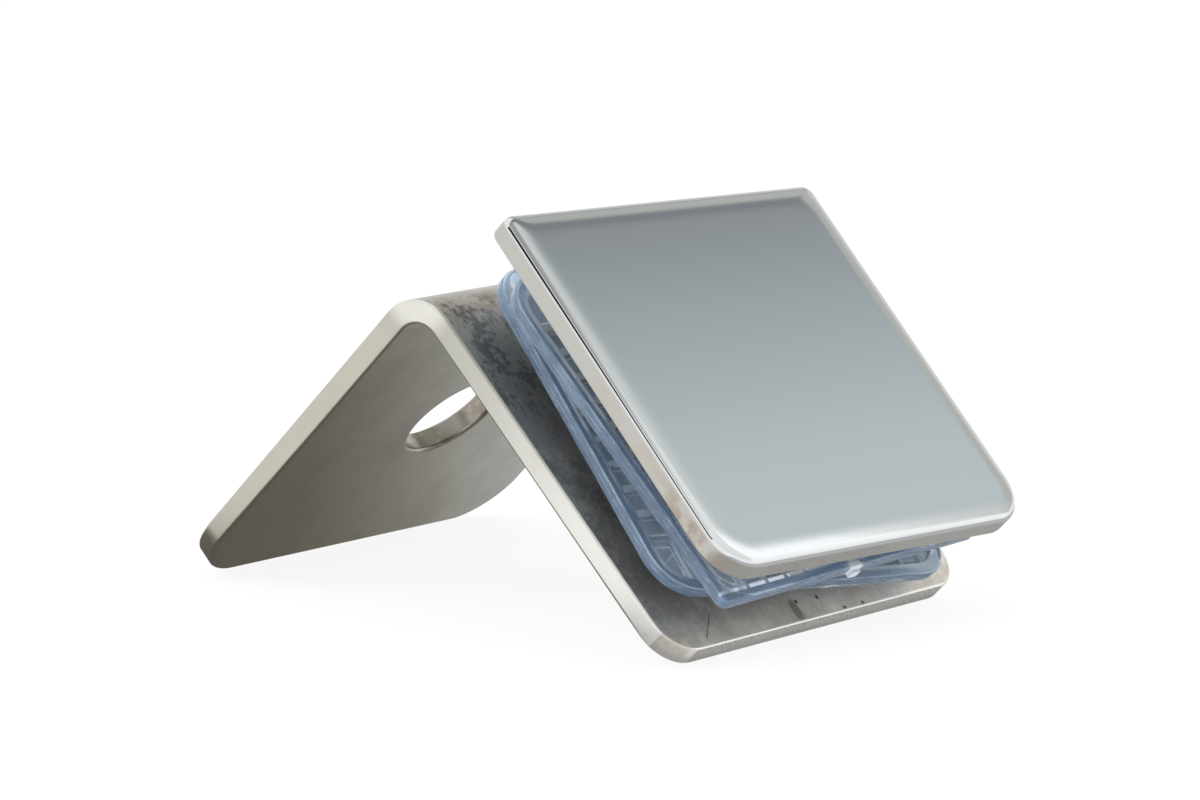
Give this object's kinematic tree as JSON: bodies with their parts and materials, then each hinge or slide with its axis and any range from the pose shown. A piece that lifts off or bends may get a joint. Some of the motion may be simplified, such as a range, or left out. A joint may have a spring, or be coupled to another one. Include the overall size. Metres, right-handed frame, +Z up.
{
  "type": "l-shaped glass clamp",
  "caption": "L-shaped glass clamp: a bent steel strip with a plain wall hole, and a polished cover plate that a hidden screw draws towards it over clear moulded gaskets.",
  "frame": {"origin": "centre of the overall box, on the surface that the ends of the two legs stand on", "axes": "+Z up; the bend's line runs along Y; the wall leg slopes down towards -X and the clamp leg with the cover plate towards +X, each at 45 degrees"},
  "size_m": [0.0798, 0.0516, 0.0443],
  "materials": {
    "bracket_steel": "satin, with faint stains and scratches near the bend",
    "polished_steel": "mirror polished",
    "turned_steel": "turned",
    "clear_gasket": "clear, pale blue, moulded soft plastic"
  },
  "bodies": {
    "bracket": {"l_bracket": "bracket_steel"},
    "screw": {"clamp_screw": "turned_steel"},
    "plate": {"clamp_plate": "polished_steel", "threaded_boss": "turned_steel"},
    "inner_pad": {"inner_gasket": "clear_gasket"},
    "outer_pad": {"outer_gasket": "clear_gasket"}
  },
  "joints": [
    {"name": "screw_turn", "type": "hinge", "parent": "bracket", "child": "screw", "pos_m": [0.01333, -0.00003, 0.01904], "axis": [0.7071, 0, 0.7071], "range_deg": [-900, 360]},
    {"name": "plate_travel", "type": "slide", "parent": "bracket", "child": "plate", "axis": [0.7071, 0, 0.7071], "range_m": [-0.00125, 0.00313]},
    {"name": "inner_gasket_slide", "type": "slide", "parent": "bracket", "child": "inner_pad", "axis": [0.7071, 0, 0.7071], "range_m": [-0.0025, 0.0009]},
    {"name": "outer_gasket_slide", "type": "slide", "parent": "plate", "child": "outer_pad", "axis": [0.7071, 0, 0.7071], "range_m": [0, 0.0026]}
  ],
  "couplings": [
    {"joint": "screw_turn", "follows": "plate_travel", "rad_per_m": -5026.5}
  ]
}
